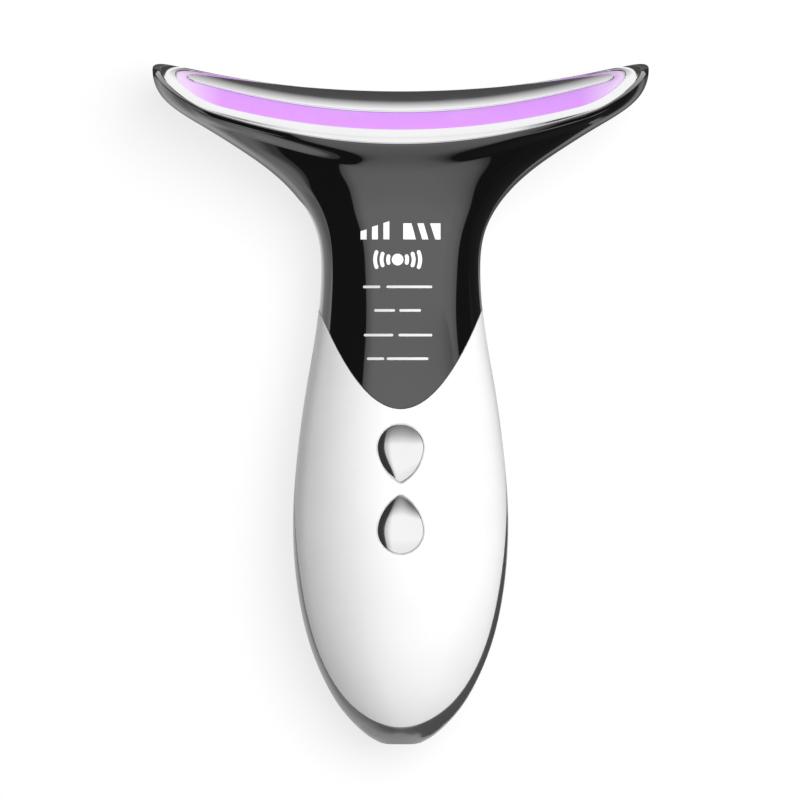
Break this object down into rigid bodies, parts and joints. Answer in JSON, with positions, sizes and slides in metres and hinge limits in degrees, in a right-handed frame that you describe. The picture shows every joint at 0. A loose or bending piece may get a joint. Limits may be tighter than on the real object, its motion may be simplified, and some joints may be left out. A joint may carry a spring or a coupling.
{
  "type": "facial toning device",
  "caption": "Handheld facial toning device with a curved grip, drop-shaped buttons and a wide concave head with plates and a light ring.",
  "frame": {"origin": "bottom centre of the bounding box, with the device lying on its back", "axes": "+Y along the handle towards the head, +X across the head to the right seen from the front, +Z out of the front with the buttons"},
  "size_m": [0.1148, 0.158, 0.0392],
  "materials": {
    "white_cover": "gloss",
    "black_shell": "gloss",
    "dark_shell": "satin",
    "polished_steel": "polished",
    "light_guide": "satin",
    "button_metal": "polished",
    "frame_plastic": "matte",
    "circuit_board": "satin",
    "component": "matte",
    "screw_steel": "satin",
    "nickel": "satin",
    "cell_wrap": "satin",
    "foam": "matte",
    "gasket": "matte",
    "film": "satin",
    "lamp": "gloss",
    "wire": "matte",
    "brass_weight": "satin"
  },
  "bodies": {
    "housing": {"rear_shell": "dark_shell", "head_cover": "black_shell", "front_cover": "white_cover", "outer_electrode": "polished_steel", "inner_electrode": "polished_steel", "light_ring": "light_guide", "heater_film": "film", "face_gasket": "gasket", "head_frame": "frame_plastic", "thermistor": "component", "light_board": "circuit_board", "lamps": "lamp", "light_board_screws": "screw_steel", "main_board": "circuit_board", "board_screws": "screw_steel", "board_components": "component", "buzzer": "component", "icon_lamps": "lamp", "icon_light_box": "frame_plastic", "upper_switch": "component", "lower_switch": "component", "battery_cell": "cell_wrap", "battery_tabs": "nickel", "battery_pad": "foam", "battery_leads": "wire", "motor_can": "nickel", "motor_sleeve": "foam", "motor_leads": "wire", "charge_socket": "nickel", "charge_board": "circuit_board", "charge_leads": "wire", "ribbon_cable": "film"},
    "upper_button": {"upper_button": "button_metal", "upper_plunger": "frame_plastic"},
    "lower_button": {"lower_button": "button_metal", "lower_plunger": "frame_plastic"},
    "motor_rotor": {"motor_shaft": "screw_steel", "eccentric_weight": "brass_weight"}
  },
  "joints": [
    {"name": "upper_button_press", "type": "slide", "parent": "housing", "child": "upper_button", "axis": [0, 0, -1], "range_m": [0, 0.0005], "stiffness_N_per_m": 1500},
    {"name": "lower_button_press", "type": "slide", "parent": "housing", "child": "lower_button", "axis": [0, 0, -1], "range_m": [0, 0.0005], "stiffness_N_per_m": 1500},
    {"name": "motor_spin", "type": "hinge", "parent": "housing", "child": "motor_rotor", "pos_m": [0, 0.0235, 0.0122], "axis": [0, 1, 0], "continuous": true}
  ]
}
